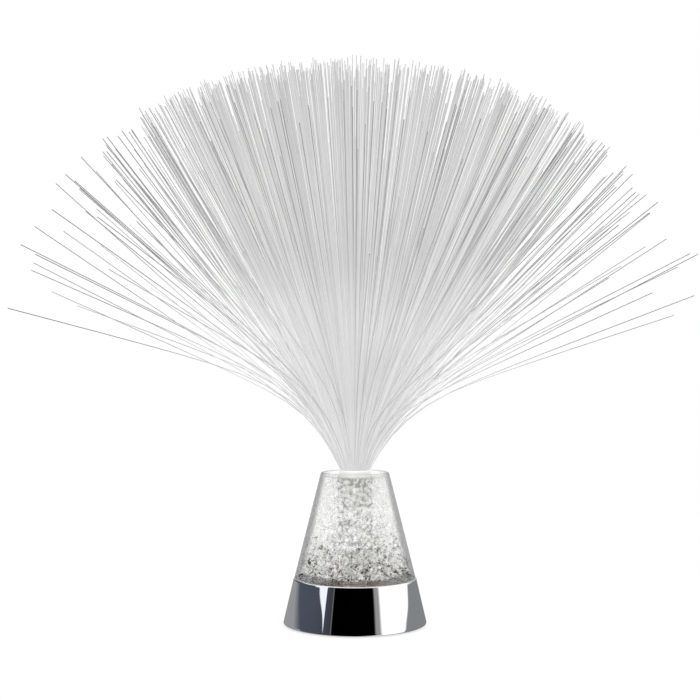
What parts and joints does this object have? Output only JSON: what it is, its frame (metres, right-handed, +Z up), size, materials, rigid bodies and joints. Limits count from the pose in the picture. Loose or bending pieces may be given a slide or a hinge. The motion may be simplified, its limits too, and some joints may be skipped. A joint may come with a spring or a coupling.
{
  "type": "fiber optic lamp",
  "caption": "Battery table lamp: a spray of light fibres in a clear cone of crushed crystal on a tapered chrome skirt, with an underside switch and cell door.",
  "frame": {"origin": "on the surface the lamp stands on, under the middle of its four feet, on the axis of the cone", "axes": "+Z up along the axis of the cone and the spray; +X towards the finger notch of the battery door; +Y to the back, with the switch to the front, at -Y"},
  "size_m": [0.3955, 0.3956, 0.326],
  "materials": {
    "chrome": "bright chrome plating on moulded plastic, mirror smooth",
    "black_plastic": "fine-textured black moulding",
    "rubber": "dull black rubber",
    "zinc_steel": "zinc-plated steel",
    "nickel": "nickel-plated spring steel",
    "cell_jacket": "plain unprinted jacket",
    "red_sleeve": "red lead insulation",
    "white_plastic": "white moulding",
    "phenolic": "brown phenolic circuit board",
    "led_epoxy": "water-clear epoxy",
    "clear_plastic": "clear polished styrene",
    "crystal": "crushed clear acrylic chips",
    "fibre": "clear acrylic light fibre"
  },
  "bodies": {
    "base": {"chrome_skirt": "chrome", "base_plate": "black_plastic", "rubber_foot_1": "rubber", "rubber_foot_2": "rubber", "rubber_foot_3": "rubber", "rubber_foot_4": "rubber", "base_screw_1": "zinc_steel", "base_screw_2": "zinc_steel", "base_screw_3": "zinc_steel", "base_screw_4": "zinc_steel", "cell_1": "cell_jacket", "cell_2": "cell_jacket", "cell_3": "cell_jacket", "contact_plus": "nickel", "contact_link_left": "nickel", "contact_link_right": "nickel", "contact_minus": "nickel", "switch_body": "black_plastic", "lead_plus": "red_sleeve", "lead_minus": "black_plastic", "lead_switch": "white_plastic", "led_board": "phenolic", "board_screw_1": "zinc_steel", "board_screw_2": "zinc_steel", "led_spacer": "white_plastic", "led_red": "led_epoxy", "led_green": "led_epoxy", "led_blue": "led_epoxy", "control_chip": "black_plastic", "resistor_1": "white_plastic", "resistor_2": "white_plastic", "clear_cone": "clear_plastic", "cone_floor": "clear_plastic", "light_tube": "clear_plastic", "crystal_fill": "crystal"},
    "spray": {"ferrule": "white_plastic", "fibres_1": "fibre", "fibres_2": "fibre", "fibres_3": "fibre", "fibres_4": "fibre"},
    "switch": {"switch_knob": "black_plastic"},
    "door": {"battery_door": "black_plastic"}
  },
  "joints": [
    {"name": "spray_lift", "type": "slide", "parent": "base", "child": "spray", "axis": [0, 0, 1], "range_m": [0, 0.016]},
    {"name": "switch_slide", "type": "slide", "parent": "base", "child": "switch", "axis": [1, 0, 0], "range_m": [0, 0.003]},
    {"name": "door_hinge", "type": "hinge", "parent": "base", "child": "door", "pos_m": [-0.02425, 0, 0.0024], "axis": [0, 1, 0], "range_deg": [0, 95]}
  ]
}
